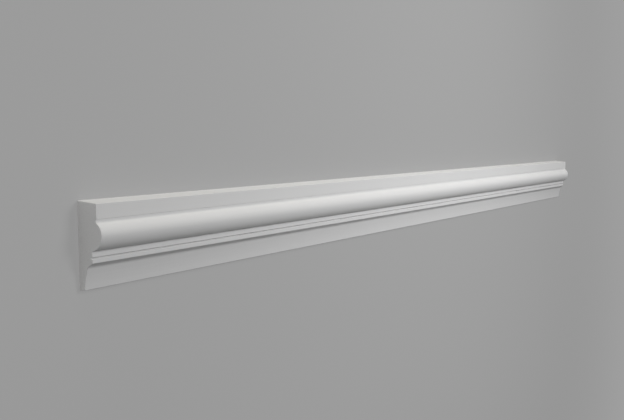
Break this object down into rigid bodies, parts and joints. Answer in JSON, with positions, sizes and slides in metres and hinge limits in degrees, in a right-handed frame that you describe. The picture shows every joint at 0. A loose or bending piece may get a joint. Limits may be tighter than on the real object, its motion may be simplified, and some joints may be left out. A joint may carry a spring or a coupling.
{
  "type": "wall moulding",
  "caption": "Straight length of white wall trim: sloping top edge, flat fascia, sunk quirk, bold bead, two flat fillets and a hollow cove over a flat back.",
  "frame": {"origin": "middle of the flat back face, halfway along the length and halfway between the long edges", "axes": "+X along the length, +Y across the section towards the edge that is uppermost on a wall, +Z out of the wall; the part lies on its back"},
  "size_m": [2, 0.1, 0.0332],
  "materials": {
    "primed_white": "smooth matte white primer"
  },
  "bodies": {
    "root": {"moulding": "primed_white"}
  },
  "joints": []
}
